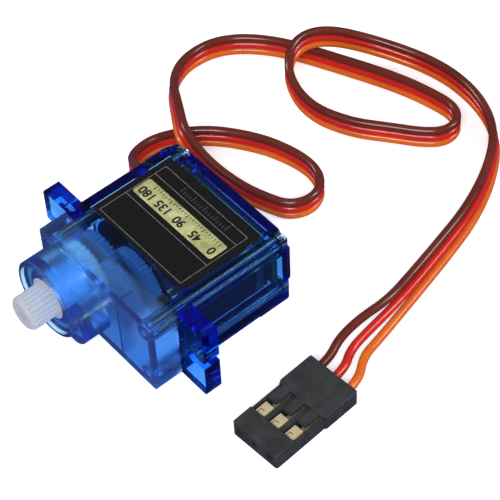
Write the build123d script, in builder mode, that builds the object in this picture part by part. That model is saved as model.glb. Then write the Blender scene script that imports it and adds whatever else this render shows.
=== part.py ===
from build123d import *
import math
import os

# Micro hobby servo, lying on its wide face with its ribbon cable laid out beside it.
# X runs along the case, -Y is the output end, Z is up, and the floor is z = 0. Millimetres.
os.makedirs("parts", exist_ok=True)

# ---------------------------------------------------------------- driving dimensions
CASE_LENGTH = 22.6
CASE_HEIGHT = 11.9
AXIS_Z = CASE_HEIGHT / 2
END_X = CASE_LENGTH / 2
WALL = 1.0
CASE_EDGE_R = 0.25

# stations along Y, from the back of the case to the tip of the output spline
BACK_PANEL_Y = 15.6
BACK_Y = 14.8
REAR_SEAM_Y = 9.5
DECK_REAR_Y = 0.8
DECK_FRONT_Y = -0.4
FRONT_SEAM_Y = -3.7
ROOF_Y = -6.9
FRONT_Y = -7.9
BOSS_PLATE_Y = -10.1
BOSS_Y = -12.0
SPLINE_TIP_Y = -15.6

# mounting ears
EAR_REACH = 4.85
EAR_REAR_Y = -1.1
EAR_FRONT_Y = -3.6
EAR_HOLE_X = 13.85
EAR_HOLE_R = 1.0
EAR_SLOT = 1.1

# gear train: three axes in one plane, all along Y
OUTPUT_X = -5.6
IDLER_X = -0.1
MOTOR_X = 5.3
PRESSURE_ANGLE = 25.0
TOOTH_THINNING = 0.05
LEVEL_1 = (-0.6, -1.8)
LEVEL_2 = (-2.0, -3.2)
LEVEL_3 = (-3.4, -4.6)
LEVEL_4 = (-4.7, -6.1)
RUNNING_GAP = 0.04

# screws
SCREW_X = 9.6
SCREW_RISE = 4.15
SCREW_R = 0.6
POST_R = 1.2
PIN_R = 0.5
MOTOR_SHAFT_R = 0.5

# ribbon cable
WIRE_D = 1.2
PLUG_REAR = (25.62, 9.45)
PLUG_TURN = 3.9
PLUG_LENGTH = 14.0
PLUG_HEIGHT = 2.6
PLUG_PITCH = 2.54
WIRE_Z_IN_PLUG = 1.3


# ---------------------------------------------------------------- helpers
def facing(y, x=0.0, z=0.0):
    """Plane at depth y that looks out of the front: sketch x is X, sketch y is Z, extrusion runs to -Y."""
    return Plane(origin=(x, y, z), x_dir=(1, 0, 0), z_dir=(0, -1, 0))


def discs(x, *steps, mode=Mode.ADD):
    """Coaxial discs on the gear axis at x, each given as (radius, rear y, front y)."""
    for radius, rear, front in steps:
        with BuildSketch(facing(rear, x, AXIS_Z)) as disc:
            Circle(radius)
        extrude(disc.sketch, amount=rear - front, mode=mode)


def block(x, y, z, mode=Mode.ADD):
    """Box given by its low and high x, y and z."""
    with BuildSketch(Plane.XY.offset(z[0])) as base:
        with Locations(((x[0] + x[1]) / 2, (y[0] + y[1]) / 2)):
            Rectangle(x[1] - x[0], y[1] - y[0])
    extrude(base.sketch, amount=z[1] - z[0], mode=mode)


def screw_columns(radius, rear, front, mode=Mode.ADD):
    """The same round column at each of the four case screws."""
    with BuildSketch(facing(rear, 0, AXIS_Z)) as columns:
        with GridLocations(2 * SCREW_X, 2 * SCREW_RISE, 2, 2):
            Circle(radius)
    extrude(columns.sketch, amount=rear - front, mode=mode)


def polar(radius, angle):
    """Point on a circle, angle in radians."""
    return (radius * math.cos(angle), radius * math.sin(angle))


def gear_outline(teeth, module, phase=0.0):
    """Involute gear face about the sketch origin, with one tooth centred on the angle phase in degrees."""
    pressure = math.radians(PRESSURE_ANGLE)
    pitch_r = teeth * module / 2
    base_r = pitch_r * math.cos(pressure)
    root_r = pitch_r - 1.25 * module
    tip_r = pitch_r + module
    flank_r = max(base_r, root_r)
    half_at_pitch = math.pi / 2 / teeth - TOOTH_THINNING / 2 / pitch_r

    def half_angle(radius):
        local = math.acos(min(1.0, base_r / radius))
        return half_at_pitch + (math.tan(pressure) - pressure) - (math.tan(local) - local)

    flank = (flank_r, (flank_r + tip_r) / 2, tip_r)
    step = 2 * math.pi / teeth
    with BuildLine() as outline:
        for tooth in range(teeth):
            middle = math.radians(phase) + tooth * step
            rising = [polar(r, middle - half_angle(r)) for r in flank]
            falling = [polar(r, middle + half_angle(r)) for r in reversed(flank)]
            root_in = polar(root_r, middle - half_angle(flank_r))
            root_out = polar(root_r, middle + half_angle(flank_r))
            next_in = polar(root_r, middle + step - half_angle(flank_r))
            if root_r < base_r:
                Line(root_in, rising[0])
            ThreePointArc(*rising)
            Line(rising[-1], falling[0])
            ThreePointArc(*falling)
            if root_r < base_r:
                Line(falling[-1], root_out)
            Line(root_out, next_in)
    make_face(outline.edges())


def gear(x, level, teeth, module, phase=0.0):
    """Gear ring filling one level of the train on the axis at x."""
    with BuildSketch(facing(level[0], x, AXIS_Z)) as ring:
        gear_outline(teeth, module, phase)
    extrude(ring.sketch, amount=level[0] - level[1])


def bore(x, radius, rear, front):
    """Round hole along a gear axis."""
    discs(x, (radius, rear, front), mode=Mode.SUBTRACT)


# ---------------------------------------------------------------- case
LABEL_X = (-9.5, 8.7)
LABEL_Y = (-0.6, 12.3)
LABEL_THICK = 0.1
LABEL_RECESS = 0.15
LABEL_MARGIN = 0.2
LABEL_CORNER_R = 0.5
ROOM_X = END_X - WALL
ROOM_Z = (WALL, CASE_HEIGHT - WALL)


def label_recess(y):
    """Shallow recess in the top face that the sticker lies in, cut over the y range of one shell."""
    edge_x = (LABEL_X[0] - LABEL_MARGIN, LABEL_X[1] + LABEL_MARGIN)
    block(edge_x, y, (CASE_HEIGHT - LABEL_RECESS, CASE_HEIGHT), mode=Mode.SUBTRACT)


# bottom cover: the rear shell, with the raised back panel, the screw head pockets and the cable notch.
# Its corners are cut back further in a thin layer under the top face.
CORNER_LAYER = 0.5
CORNER_R = 2.5
EDGE_R = 0.6
PANEL_HALF_HEIGHT = 3.0
PANEL_CHAMFER = 0.35
HEAD_BOSS_R = 1.6
HEAD_R = 1.1
HEAD_POCKET = 0.9
CABLE_NOTCH_Y = 11.5
CABLE_NOTCH_RISE = 1.9
CABLE_NOTCH_DEPTH = 0.5
CABLE_CLAMP_Y = 10.15
CABLE_CLAMP_GAP = 0.05

with BuildPart() as bottom_cover:
    with BuildSketch(Plane.XY) as bottom_outline:
        with Locations((0, (BACK_Y + REAR_SEAM_Y) / 2)):
            Rectangle(CASE_LENGTH, BACK_Y - REAR_SEAM_Y)
        fillet(bottom_outline.vertices().group_by(Axis.Y)[-1], CORNER_R)
    extrude(amount=CASE_HEIGHT)
    with BuildSketch(Plane.XY) as main_outline:
        with Locations((0, (BACK_Y + REAR_SEAM_Y) / 2)):
            Rectangle(CASE_LENGTH, BACK_Y - REAR_SEAM_Y)
        fillet(main_outline.vertices().group_by(Axis.Y)[-1], EDGE_R)
    extrude(amount=CASE_HEIGHT - CORNER_LAYER)
    block((-END_X + EDGE_R, END_X - EDGE_R), (BACK_Y, BACK_PANEL_Y),
          (AXIS_Z - PANEL_HALF_HEIGHT, AXIS_Z + PANEL_HALF_HEIGHT))
    chamfer(bottom_cover.faces().sort_by(Axis.Y)[-1].edges(), PANEL_CHAMFER)
    block((-ROOM_X, ROOM_X), (REAR_SEAM_Y, BACK_Y - WALL), ROOM_Z, mode=Mode.SUBTRACT)
    screw_columns(POST_R, BACK_Y - WALL, REAR_SEAM_Y)
    screw_columns(HEAD_BOSS_R, BACK_Y - WALL, BACK_Y - 2 * WALL)
    screw_columns(SCREW_R + RUNNING_GAP, BACK_Y, REAR_SEAM_Y, mode=Mode.SUBTRACT)
    screw_columns(HEAD_R + RUNNING_GAP, BACK_Y, BACK_Y - HEAD_POCKET, mode=Mode.SUBTRACT)
    block((-END_X, -ROOM_X + CABLE_NOTCH_DEPTH), (REAR_SEAM_Y, CABLE_NOTCH_Y),
          (AXIS_Z - CABLE_NOTCH_RISE, AXIS_Z + CABLE_NOTCH_RISE), mode=Mode.SUBTRACT)
    label_recess((REAR_SEAM_Y, LABEL_Y[1] + LABEL_MARGIN))
bottom_cover.part.label = "bottom_cover"
export_step(bottom_cover.part, "parts/bottom_cover.step")

# middle case: the sleeve that holds the motor and the sensor, with the gear deck and the mounting ears
DECK_MOTOR_HOLE_R = 1.7
DECK_SHAFT_HOLE_R = 0.85

with BuildPart() as middle_case:
    block((-END_X, END_X), (FRONT_SEAM_Y, REAR_SEAM_Y), (0, CASE_HEIGHT))
    fillet(middle_case.edges().filter_by(Axis.Y), CASE_EDGE_R)
    with BuildSketch(facing(EAR_REAR_Y, 0, AXIS_Z)):
        RectangleRounded(CASE_LENGTH + 2 * EAR_REACH, CASE_HEIGHT, CASE_EDGE_R)
    extrude(amount=EAR_REAR_Y - EAR_FRONT_Y)
    block((-ROOM_X, ROOM_X), (DECK_REAR_Y, REAR_SEAM_Y), ROOM_Z, mode=Mode.SUBTRACT)
    block((-ROOM_X, ROOM_X), (FRONT_SEAM_Y, DECK_FRONT_Y), ROOM_Z, mode=Mode.SUBTRACT)
    screw_columns(POST_R, REAR_SEAM_Y, FRONT_SEAM_Y)
    screw_columns(SCREW_R + RUNNING_GAP, REAR_SEAM_Y, FRONT_SEAM_Y, mode=Mode.SUBTRACT)
    bore(MOTOR_X, DECK_MOTOR_HOLE_R, DECK_REAR_Y, DECK_FRONT_Y)
    bore(OUTPUT_X, DECK_SHAFT_HOLE_R, DECK_REAR_Y, DECK_FRONT_Y)
    bore(IDLER_X, PIN_R, DECK_REAR_Y, DECK_FRONT_Y)
    for side in (-1, 1):
        with BuildSketch(facing(EAR_REAR_Y, 0, AXIS_Z)):
            with Locations((side * EAR_HOLE_X, 0)):
                Circle(EAR_HOLE_R)
            with Locations((side * (EAR_HOLE_X + EAR_REACH / 2), 0)):
                Rectangle(EAR_REACH, EAR_SLOT)
        extrude(amount=EAR_REAR_Y - EAR_FRONT_Y, mode=Mode.SUBTRACT)
    block((-END_X, -ROOM_X), (REAR_SEAM_Y, CABLE_CLAMP_Y),
          (AXIS_Z - CABLE_NOTCH_RISE + CABLE_CLAMP_GAP, AXIS_Z + CABLE_NOTCH_RISE - CABLE_CLAMP_GAP))
    label_recess((LABEL_Y[0] - LABEL_MARGIN, REAR_SEAM_Y))
middle_case.part.label = "middle_case"
export_step(middle_case.part, "parts/middle_case.step")

# top cover: the front shell over the gears, with the output boss, the idler lobe and the travel stop
BOSS_R = 5.68
BOSS_CHAMFER = 0.15
BOSS_ROOM_R = 4.8
LOBE_R = 2.85
LOBE_ROOM_R = 1.95
SLEEVE_R = 4.0
HUB_R = 3.0
HUB_BORE_R = 3.05
STOP_INNER_R = 3.2
STOP_RIB_Y = -6.2
STOP_RIB_HALF_ANGLE = 78.0
RECESS_R = 5.1
RECESS_Y = -11.5
PIN_FRONT_Y = -11.0
SIDE_RIB_X = (4.1, 4.5)
SIDE_RIB_Y = -5.0


def stop_sector(inner_r, outer_r, middle, half_angle):
    """Ring sector about the sketch origin, angles in degrees."""
    low = math.radians(middle - half_angle)
    high = math.radians(middle + half_angle)
    centre = math.radians(middle)
    with BuildLine() as outline:
        ThreePointArc(polar(outer_r, low), polar(outer_r, centre), polar(outer_r, high))
        Line(polar(outer_r, high), polar(inner_r, high))
        ThreePointArc(polar(inner_r, high), polar(inner_r, centre), polar(inner_r, low))
        Line(polar(inner_r, low), polar(outer_r, low))
    make_face(outline.edges())


with BuildPart() as top_cover:
    block((-END_X, END_X), (FRONT_Y, FRONT_SEAM_Y), (0, CASE_HEIGHT))
    fillet(top_cover.edges().filter_by(Axis.Y), CASE_EDGE_R)
    fillet(top_cover.faces().sort_by(Axis.Y)[0].edges(), CASE_EDGE_R)
    for x, radius in ((OUTPUT_X, BOSS_R), (IDLER_X, LOBE_R)):
        discs(x, (radius, FRONT_Y + WALL, BOSS_Y + BOSS_CHAMFER))
        with BuildSketch(facing(BOSS_Y + BOSS_CHAMFER, x, AXIS_Z)):
            Circle(radius)
        extrude(amount=BOSS_CHAMFER, taper=45)
    block((-ROOM_X, ROOM_X), (ROOF_Y, FRONT_SEAM_Y), ROOM_Z, mode=Mode.SUBTRACT)
    bore(OUTPUT_X, BOSS_ROOM_R, ROOF_Y, BOSS_PLATE_Y)
    bore(IDLER_X, LOBE_ROOM_R, ROOF_Y, BOSS_PLATE_Y)
    bore(OUTPUT_X, RECESS_R, RECESS_Y, BOSS_Y)
    discs(OUTPUT_X, (SLEEVE_R, ROOF_Y, BOSS_PLATE_Y))
    with BuildSketch(facing(STOP_RIB_Y, OUTPUT_X, AXIS_Z)):
        stop_sector(STOP_INNER_R, SLEEVE_R, 0, STOP_RIB_HALF_ANGLE)
    extrude(amount=STOP_RIB_Y - ROOF_Y)
    screw_columns(POST_R, FRONT_SEAM_Y, ROOF_Y)
    block(SIDE_RIB_X, (ROOF_Y, SIDE_RIB_Y), ROOM_Z)
    bore(OUTPUT_X, HUB_BORE_R, ROOF_Y, BOSS_Y)
    bore(IDLER_X, PIN_R, BOSS_PLATE_Y, PIN_FRONT_Y)
    screw_columns(SCREW_R, FRONT_SEAM_Y, ROOF_Y, mode=Mode.SUBTRACT)
top_cover.part.label = "top_cover"
export_step(top_cover.part, "parts/top_cover.step")

# label: one printed sticker in the recess of the top face
with BuildPart() as label:
    with BuildSketch(Plane.XY.offset(CASE_HEIGHT - LABEL_RECESS)):
        with Locations((sum(LABEL_X) / 2, sum(LABEL_Y) / 2)):
            RectangleRounded(LABEL_X[1] - LABEL_X[0], LABEL_Y[1] - LABEL_Y[0], LABEL_CORNER_R)
    extrude(amount=LABEL_THICK)
label.part.label = "label"
export_step(label.part, "parts/label.step")

# case screws: four long cross-head screws from the bottom cover into the top cover
SCREW_TIP_Y = -6.0
HEAD_SEAT_Y = BACK_Y - HEAD_POCKET
HEAD_TOP_Y = HEAD_SEAT_Y + 0.8
CROSS_SIZE = (1.3, 0.28)
CROSS_DEPTH = 0.35

with BuildPart() as case_screws:
    screw_columns(HEAD_R, HEAD_TOP_Y, HEAD_SEAT_Y)
    screw_columns(SCREW_R, HEAD_SEAT_Y, SCREW_TIP_Y)
    with BuildSketch(facing(HEAD_TOP_Y, 0, AXIS_Z)):
        with GridLocations(2 * SCREW_X, 2 * SCREW_RISE, 2, 2):
            Rectangle(CROSS_SIZE[0], CROSS_SIZE[1])
            Rectangle(CROSS_SIZE[1], CROSS_SIZE[0])
    extrude(amount=CROSS_DEPTH, mode=Mode.SUBTRACT)
case_screws.part.label = "case_screws"
export_step(case_screws.part, "parts/case_screws.step")

# ---------------------------------------------------------------- gear train
MOTOR_MODULE = 0.2
MIDDLE_MODULE = 0.25
OUTPUT_MODULE = 0.275
HALF_PITCH_10 = 18.0
SHAFT_R = 0.6
SHAFT_SHOULDER_Y = -1.9
SHAFT_TIP_Y = -7.7
SHAFT_TIP_GAP = 0.1

with BuildPart() as motor_pinion:
    gear(MOTOR_X, LEVEL_1, 10, MOTOR_MODULE, HALF_PITCH_10)
    bore(MOTOR_X, MOTOR_SHAFT_R, *LEVEL_1)
motor_pinion.part.label = "motor_pinion"
export_step(motor_pinion.part, "parts/motor_pinion.step")

with BuildPart() as first_gear:
    gear(IDLER_X, LEVEL_1, 44, MOTOR_MODULE)
    gear(IDLER_X, (LEVEL_1[1], LEVEL_2[1]), 11, MIDDLE_MODULE)
    bore(IDLER_X, PIN_R + RUNNING_GAP, LEVEL_1[0], LEVEL_2[1])
first_gear.part.label = "first_gear"
export_step(first_gear.part, "parts/first_gear.step")

with BuildPart() as second_gear:
    gear(OUTPUT_X, LEVEL_2, 33, MIDDLE_MODULE)
    gear(OUTPUT_X, (LEVEL_2[1], LEVEL_3[1]), 11, MIDDLE_MODULE)
    bore(OUTPUT_X, SHAFT_R + RUNNING_GAP, LEVEL_2[0], LEVEL_3[1])
second_gear.part.label = "second_gear"
export_step(second_gear.part, "parts/second_gear.step")

with BuildPart() as third_gear:
    gear(IDLER_X, LEVEL_3, 33, MIDDLE_MODULE)
    gear(IDLER_X, (LEVEL_3[1], LEVEL_4[1]), 10, OUTPUT_MODULE, HALF_PITCH_10)
    bore(IDLER_X, PIN_R + RUNNING_GAP, LEVEL_3[0], LEVEL_4[1])
third_gear.part.label = "third_gear"
export_step(third_gear.part, "parts/third_gear.step")

# output gear: wheel, travel-stop peg, hub and 21-tooth spline in one moulding
PEG_FRONT_Y = -6.8
PEG_HALF_ANGLE = 8.0
HUB_FRONT_Y = -11.5
SPLINE_TEETH = 21
SPLINE_R = 2.45
SPLINE_ROOT_R = 2.2
SPLINE_NOSE = 0.4
NOSE_MARGIN = 0.1
SCREW_BORE_R = 0.75
SCREW_BORE_DEPTH = 4.0


def spline_outline():
    """Fine V-shaped teeth for a servo arm, about the sketch origin."""
    step = math.pi / SPLINE_TEETH
    corners = []
    for tooth in range(SPLINE_TEETH):
        corners.append(polar(SPLINE_R, (2 * tooth - 0.3) * step))
        corners.append(polar(SPLINE_R, (2 * tooth + 0.3) * step))
        corners.append(polar(SPLINE_ROOT_R, (2 * tooth + 0.8) * step))
        corners.append(polar(SPLINE_ROOT_R, (2 * tooth + 1.2) * step))
    with BuildLine() as outline:
        Polyline(*corners, close=True)
    make_face(outline.edges())


with BuildPart() as output_gear:
    with BuildSketch(facing(HUB_FRONT_Y, OUTPUT_X, AXIS_Z)):
        spline_outline()
    extrude(amount=HUB_FRONT_Y - SPLINE_TIP_Y)
    with BuildSketch(Plane(origin=(OUTPUT_X, 0, AXIS_Z), x_dir=(1, 0, 0), z_dir=(0, 0, 1))):
        with BuildLine():
            Polyline(
                (0, HUB_FRONT_Y),
                (SPLINE_R + NOSE_MARGIN, HUB_FRONT_Y),
                (SPLINE_R + NOSE_MARGIN, SPLINE_TIP_Y + SPLINE_NOSE + NOSE_MARGIN),
                (SPLINE_R - SPLINE_NOSE, SPLINE_TIP_Y),
                (0, SPLINE_TIP_Y),
                close=True,
            )
        make_face()
    revolve(axis=Axis((OUTPUT_X, 0, AXIS_Z), (0, 1, 0)), mode=Mode.INTERSECT)
    gear(OUTPUT_X, LEVEL_4, 30, OUTPUT_MODULE)
    with BuildSketch(facing(LEVEL_4[1], OUTPUT_X, AXIS_Z)):
        stop_sector(STOP_INNER_R, SLEEVE_R, 180, PEG_HALF_ANGLE)
    extrude(amount=LEVEL_4[1] - PEG_FRONT_Y)
    discs(OUTPUT_X, (HUB_R, LEVEL_4[1], HUB_FRONT_Y))
    bore(OUTPUT_X, SCREW_BORE_R, SPLINE_TIP_Y + SCREW_BORE_DEPTH, SPLINE_TIP_Y)
    bore(OUTPUT_X, SHAFT_R, LEVEL_4[0], SHAFT_TIP_Y)
output_gear.part.label = "output_gear"
export_step(output_gear.part, "parts/output_gear.step")

# idler pin: steel pin from the gear deck to the lobe of the top cover
PIN_END_GAP = 0.1
PIN_CHAMFER = 0.1

with BuildPart() as idler_pin:
    discs(IDLER_X, (PIN_R, DECK_REAR_Y - PIN_END_GAP, PIN_FRONT_Y + PIN_END_GAP))
    chamfer(idler_pin.edges().filter_by(GeomType.CIRCLE), PIN_CHAMFER)
idler_pin.part.label = "idler_pin"
export_step(idler_pin.part, "parts/idler_pin.step")

# ---------------------------------------------------------------- motor
CAN_R = 4.75
CAN_HALF_WIDTH = 4.0
CAN_WALL = 0.4
CAN_FRONT_Y = 0.85
CAN_REAR_Y = 10.3
CAN_NOSE_R = 1.6
CAN_NOSE_Y = 0.2
CAN_CHAMFER = 0.25
BUSH_R = 1.2
END_CAP_REAR_Y = 11.5
REAR_BUSH_Y = END_CAP_REAR_Y - 0.3
SHAFT_REAR_Y = END_CAP_REAR_Y - 0.4
ARMATURE_R = 2.9
CORE_Y = (7.6, 2.9)
COMMUTATOR_Y = (10.0, 8.7)
COMMUTATOR_R = 0.95


def can_section(radius, half_width):
    """Circle with two flats, about the sketch origin."""
    Circle(radius)
    Rectangle(2 * half_width, 2 * radius, mode=Mode.INTERSECT)


with BuildPart() as motor_can:
    with BuildSketch(facing(CAN_REAR_Y, MOTOR_X, AXIS_Z)):
        can_section(CAN_R, CAN_HALF_WIDTH)
    extrude(amount=CAN_REAR_Y - CAN_FRONT_Y)
    chamfer(motor_can.faces().sort_by(Axis.Y)[0].edges(), CAN_CHAMFER)
    discs(MOTOR_X, (CAN_NOSE_R, CAN_FRONT_Y + CAN_WALL, CAN_NOSE_Y))
    with BuildSketch(facing(CAN_REAR_Y, MOTOR_X, AXIS_Z)):
        can_section(CAN_R - CAN_WALL, CAN_HALF_WIDTH - CAN_WALL)
    extrude(amount=CAN_REAR_Y - CAN_FRONT_Y - CAN_WALL, mode=Mode.SUBTRACT)
    bore(MOTOR_X, BUSH_R, CAN_FRONT_Y + CAN_WALL, CAN_NOSE_Y)
motor_can.part.label = "motor_can"
export_step(motor_can.part, "parts/motor_can.step")

CAP_PLUG_Y = 9.6
CAP_PLUG_GAP = 0.02
CAP_ROOM_R = 3.1
TERMINAL_X = 2.6
CAP_SLOT = (0.2, 0.75)

with BuildPart() as motor_end_cap:
    with BuildSketch(facing(END_CAP_REAR_Y, MOTOR_X, AXIS_Z)):
        can_section(CAN_R, CAN_HALF_WIDTH)
    extrude(amount=END_CAP_REAR_Y - CAN_REAR_Y)
    with BuildSketch(facing(CAN_REAR_Y, MOTOR_X, AXIS_Z)):
        can_section(CAN_R - CAN_WALL - CAP_PLUG_GAP, CAN_HALF_WIDTH - CAN_WALL - CAP_PLUG_GAP)
        Circle(CAP_ROOM_R, mode=Mode.SUBTRACT)
    extrude(amount=CAN_REAR_Y - CAP_PLUG_Y)
    bore(MOTOR_X, BUSH_R, REAR_BUSH_Y, CAN_REAR_Y)
    for side in (-1, 1):
        middle = MOTOR_X + side * TERMINAL_X
        block((middle - CAP_SLOT[0], middle + CAP_SLOT[0]), (CAN_REAR_Y, END_CAP_REAR_Y),
              (AXIS_Z - CAP_SLOT[1], AXIS_Z + CAP_SLOT[1]), mode=Mode.SUBTRACT)
motor_end_cap.part.label = "motor_end_cap"
export_step(motor_end_cap.part, "parts/motor_end_cap.step")

# two sintered bushes that carry the motor shaft
with BuildPart() as motor_bushes:
    discs(MOTOR_X, (BUSH_R, CAN_FRONT_Y + CAN_WALL, CAN_NOSE_Y))
    discs(MOTOR_X, (BUSH_R, REAR_BUSH_Y, CAN_REAR_Y))
    bore(MOTOR_X, MOTOR_SHAFT_R + RUNNING_GAP, REAR_BUSH_Y, CAN_NOSE_Y)
motor_bushes.part.label = "motor_bushes"
export_step(motor_bushes.part, "parts/motor_bushes.step")

MOTOR_SHAFT_CHAMFER = 0.08

with BuildPart() as motor_shaft:
    discs(MOTOR_X, (MOTOR_SHAFT_R, SHAFT_REAR_Y, LEVEL_1[1]))
    chamfer(motor_shaft.edges().filter_by(GeomType.CIRCLE), MOTOR_SHAFT_CHAMFER)
motor_shaft.part.label = "motor_shaft"
export_step(motor_shaft.part, "parts/motor_shaft.step")

# two arc magnets on the round sides of the can
MAGNET_R = (3.3, 4.3)
MAGNET_HALF_ANGLE = 34.0
MAGNET_Y = (8.4, 2.0)

with BuildPart() as motor_magnets:
    for angle in (90, 270):
        with BuildSketch(facing(MAGNET_Y[0], MOTOR_X, AXIS_Z)):
            stop_sector(MAGNET_R[0], MAGNET_R[1], angle, MAGNET_HALF_ANGLE)
        extrude(amount=MAGNET_Y[0] - MAGNET_Y[1])
motor_magnets.part.label = "motor_magnets"
export_step(motor_magnets.part, "parts/motor_magnets.step")

# three-pole armature: laminated core, coils and commutator, all on the shaft
POLES = 3
POLE_STEP = 360 / POLES
CORE_HUB_R = 1.1
ARM_WIDTH = 0.9
ARM_REACH = (0.2, 2.4)
SHOE_INNER_R = 2.3
SHOE_HALF_ANGLE = 48.0
COIL_REACH = (1.15, 2.0)
COIL_THICK = 0.5
COIL_OVERHANG = 0.6
COIL_CORNER_R = 0.45
COIL_GAP = 0.01
COIL_BORE_R = 1.16

with BuildPart() as armature_core:
    discs(MOTOR_X, (CORE_HUB_R, *CORE_Y))
    for pole in range(POLES):
        with BuildSketch(facing(CORE_Y[0], MOTOR_X, AXIS_Z)):
            stop_sector(SHOE_INNER_R, ARMATURE_R, 90 + pole * POLE_STEP, SHOE_HALF_ANGLE)
            with Locations(Rotation(0, 0, 90 + pole * POLE_STEP)):
                with Locations((sum(ARM_REACH) / 2, 0)):
                    Rectangle(ARM_REACH[1] - ARM_REACH[0], ARM_WIDTH)
        extrude(amount=CORE_Y[0] - CORE_Y[1])
    bore(MOTOR_X, MOTOR_SHAFT_R, *CORE_Y)
armature_core.part.label = "armature_core"
export_step(armature_core.part, "parts/armature_core.step")

with BuildPart() as armature_coils:
    for pole in range(POLES):
        pole_angle = math.radians(90 + pole * POLE_STEP)
        outward = (math.cos(pole_angle), 0, math.sin(pole_angle))
        start = (MOTOR_X + COIL_REACH[0] * outward[0], sum(CORE_Y) / 2, AXIS_Z + COIL_REACH[0] * outward[2])
        core_length = CORE_Y[0] - CORE_Y[1]
        with BuildSketch(Plane(origin=start, x_dir=(0, 1, 0), z_dir=outward)):
            RectangleRounded(core_length + 2 * COIL_OVERHANG, ARM_WIDTH + 2 * COIL_THICK, COIL_CORNER_R)
            Rectangle(core_length + 2 * COIL_GAP, ARM_WIDTH + 2 * COIL_GAP, mode=Mode.SUBTRACT)
        extrude(amount=COIL_REACH[1] - COIL_REACH[0])
    bore(MOTOR_X, COIL_BORE_R, CORE_Y[0] + 2 * COIL_OVERHANG, CORE_Y[1] - 2 * COIL_OVERHANG)
armature_coils.part.label = "armature_coils"
export_step(armature_coils.part, "parts/armature_coils.step")

COMMUTATOR_SLOT = (0.4, 0.16)

with BuildPart() as commutator:
    discs(MOTOR_X, (COMMUTATOR_R, *COMMUTATOR_Y))
    with BuildSketch(facing(COMMUTATOR_Y[0], MOTOR_X, AXIS_Z)):
        with PolarLocations(COMMUTATOR_R, POLES, start_angle=POLE_STEP / 4):
            Rectangle(*COMMUTATOR_SLOT)
    extrude(amount=COMMUTATOR_Y[0] - COMMUTATOR_Y[1], mode=Mode.SUBTRACT)
    bore(MOTOR_X, MOTOR_SHAFT_R, *COMMUTATOR_Y)
commutator.part.label = "commutator"
export_step(commutator.part, "parts/commutator.step")

# motor terminals run through the end cap; the leaf brushes hang from them beside the commutator
TERMINAL_HALF = (0.15, 0.7)
BOARD_FRONT_Y = 12.5
BOARD_REAR_Y = 13.3

with BuildPart() as motor_terminals:
    for side in (-1, 1):
        middle = MOTOR_X + side * TERMINAL_X
        block((middle - TERMINAL_HALF[0], middle + TERMINAL_HALF[0]), (CAN_REAR_Y, BOARD_FRONT_Y),
              (AXIS_Z - TERMINAL_HALF[1], AXIS_Z + TERMINAL_HALF[1]))
motor_terminals.part.label = "motor_terminals"
export_step(motor_terminals.part, "parts/motor_terminals.step")

BRUSH_X = COMMUTATOR_R + 0.05
BRUSH_THICK = 0.2
BRUSH_ARM_Y = (10.15, CAN_REAR_Y)
BRUSH_TIP_Y = 8.9
BRUSH_Z = (AXIS_Z - 0.45, AXIS_Z + 0.45)

with BuildPart() as motor_brushes:
    for side in (-1, 1):
        outer = MOTOR_X + side * (TERMINAL_X + TERMINAL_HALF[0])
        inner = MOTOR_X + side * BRUSH_X
        tip = MOTOR_X + side * (BRUSH_X + BRUSH_THICK)
        block(sorted((outer, inner)), BRUSH_ARM_Y, BRUSH_Z)
        block(sorted((tip, inner)), (BRUSH_TIP_Y, CAN_REAR_Y), BRUSH_Z)
motor_brushes.part.label = "motor_brushes"
export_step(motor_brushes.part, "parts/motor_brushes.step")

# ---------------------------------------------------------------- position sensor
POT_R = 4.3
POT_WALL = 0.6
POT_FRONT_Y = 0.8
POT_REAR_Y = 4.0
TRACK_BOARD_Y = 4.8
TRACK_R = (2.2, 3.3)
TRACK_HALF_ANGLE = 150.0
TRACK_THICK = 0.08
POT_SHAFT_R = 0.75
POT_SHAFT_REAR_Y = 3.6

with BuildPart() as pot_housing:
    discs(OUTPUT_X, (POT_R, POT_REAR_Y, POT_FRONT_Y))
    bore(OUTPUT_X, POT_R - POT_WALL, POT_REAR_Y, POT_FRONT_Y + POT_WALL)
    bore(OUTPUT_X, POT_SHAFT_R + RUNNING_GAP, POT_REAR_Y, POT_FRONT_Y)
pot_housing.part.label = "pot_housing"
export_step(pot_housing.part, "parts/pot_housing.step")

with BuildPart() as pot_board:
    discs(OUTPUT_X, (POT_R, TRACK_BOARD_Y, POT_REAR_Y))
pot_board.part.label = "pot_board"
export_step(pot_board.part, "parts/pot_board.step")

with BuildPart() as pot_track:
    with BuildSketch(facing(POT_REAR_Y, OUTPUT_X, AXIS_Z)):
        stop_sector(TRACK_R[0], TRACK_R[1], 90, TRACK_HALF_ANGLE)
    extrude(amount=TRACK_THICK)
pot_track.part.label = "pot_track"
export_step(pot_track.part, "parts/pot_track.step")

with BuildPart() as pot_shaft:
    discs(OUTPUT_X, (POT_SHAFT_R, POT_SHAFT_REAR_Y, SHAFT_SHOULDER_Y))
    discs(OUTPUT_X, (SHAFT_R, SHAFT_SHOULDER_Y, SHAFT_TIP_Y + SHAFT_TIP_GAP))
pot_shaft.part.label = "pot_shaft"
export_step(pot_shaft.part, "parts/pot_shaft.step")

# wiper: a hub on the sensor shaft and one sprung arm over the track
WIPER_HUB_R = 1.5
WIPER_Y = (3.1, 2.75)
WIPER_HALF = 0.45
WIPER_REACH = 3.2
WIPER_FINGER_Y = (2.9, 3.86)
WIPER_FINGER_Z = (AXIS_Z + 2.5, AXIS_Z + 3.0)

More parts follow.
